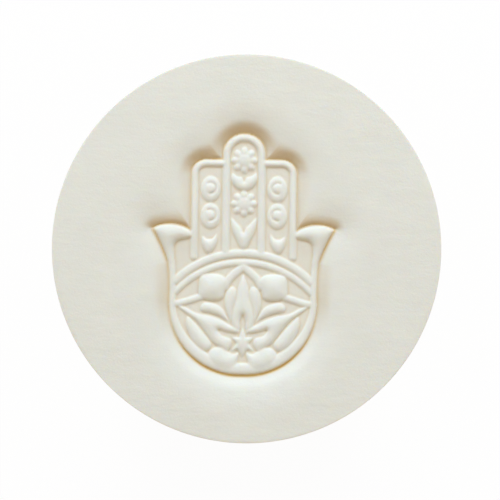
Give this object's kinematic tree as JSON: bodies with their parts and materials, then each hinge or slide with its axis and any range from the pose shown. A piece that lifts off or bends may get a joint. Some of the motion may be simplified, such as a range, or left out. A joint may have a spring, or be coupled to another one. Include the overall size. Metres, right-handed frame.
{
  "type": "clay stamp",
  "caption": "Round hand stamp with a sunk hamsa hand on a white clay face, cork bedded on a turned beech plate, on a screw-in turned handle.",
  "frame": {"origin": "middle of the felt foot, on the surface that the stamp stands on", "axes": "+Z out of the clay face, which points up; +Y towards the fingertips of the sunk hand, which the index pin marks; +X to the right of the hand as it is looked at"},
  "size_m": [0.05, 0.05, 0.055],
  "materials": {
    "clay": "matt, unglazed, fine grain",
    "cork": "pressed cork granules, matt",
    "beech_plate": "turned beech, oiled",
    "beech_handle": "turned beech, oiled and hand-worn",
    "brass": "turned, satin",
    "brass_screw": "slotted screw, satin",
    "fibre": "red vulcanised fibre, matt",
    "felt": "pressed wool felt"
  },
  "bodies": {
    "handle": {"handle_grip": "beech_handle", "ferrule": "brass", "ferrule_pins": "brass_screw", "threaded_insert": "brass", "foot_pad": "felt"},
    "washer": {"thrust_washer": "fibre"},
    "head": {"stamp_face": "clay", "bond_cushion": "cork", "mount_plate": "beech_plate", "index_pin": "brass_screw", "stud_flange": "brass", "flange_screws": "brass_screw", "head_stud": "brass"}
  },
  "joints": [
    {"name": "head_lift", "type": "slide", "parent": "handle", "child": "washer", "axis": [0, 0, 1], "range_m": [0, 0.009]},
    {"name": "head_turn", "type": "hinge", "parent": "washer", "child": "head", "pos_m": [0, 0, 0.04], "axis": [0, 0, 1], "range_deg": [0, 3240]}
  ],
  "couplings": [
    {"joint": "head_lift", "follows": "head_turn", "m_per_rad": 0.00015915}
  ]
}
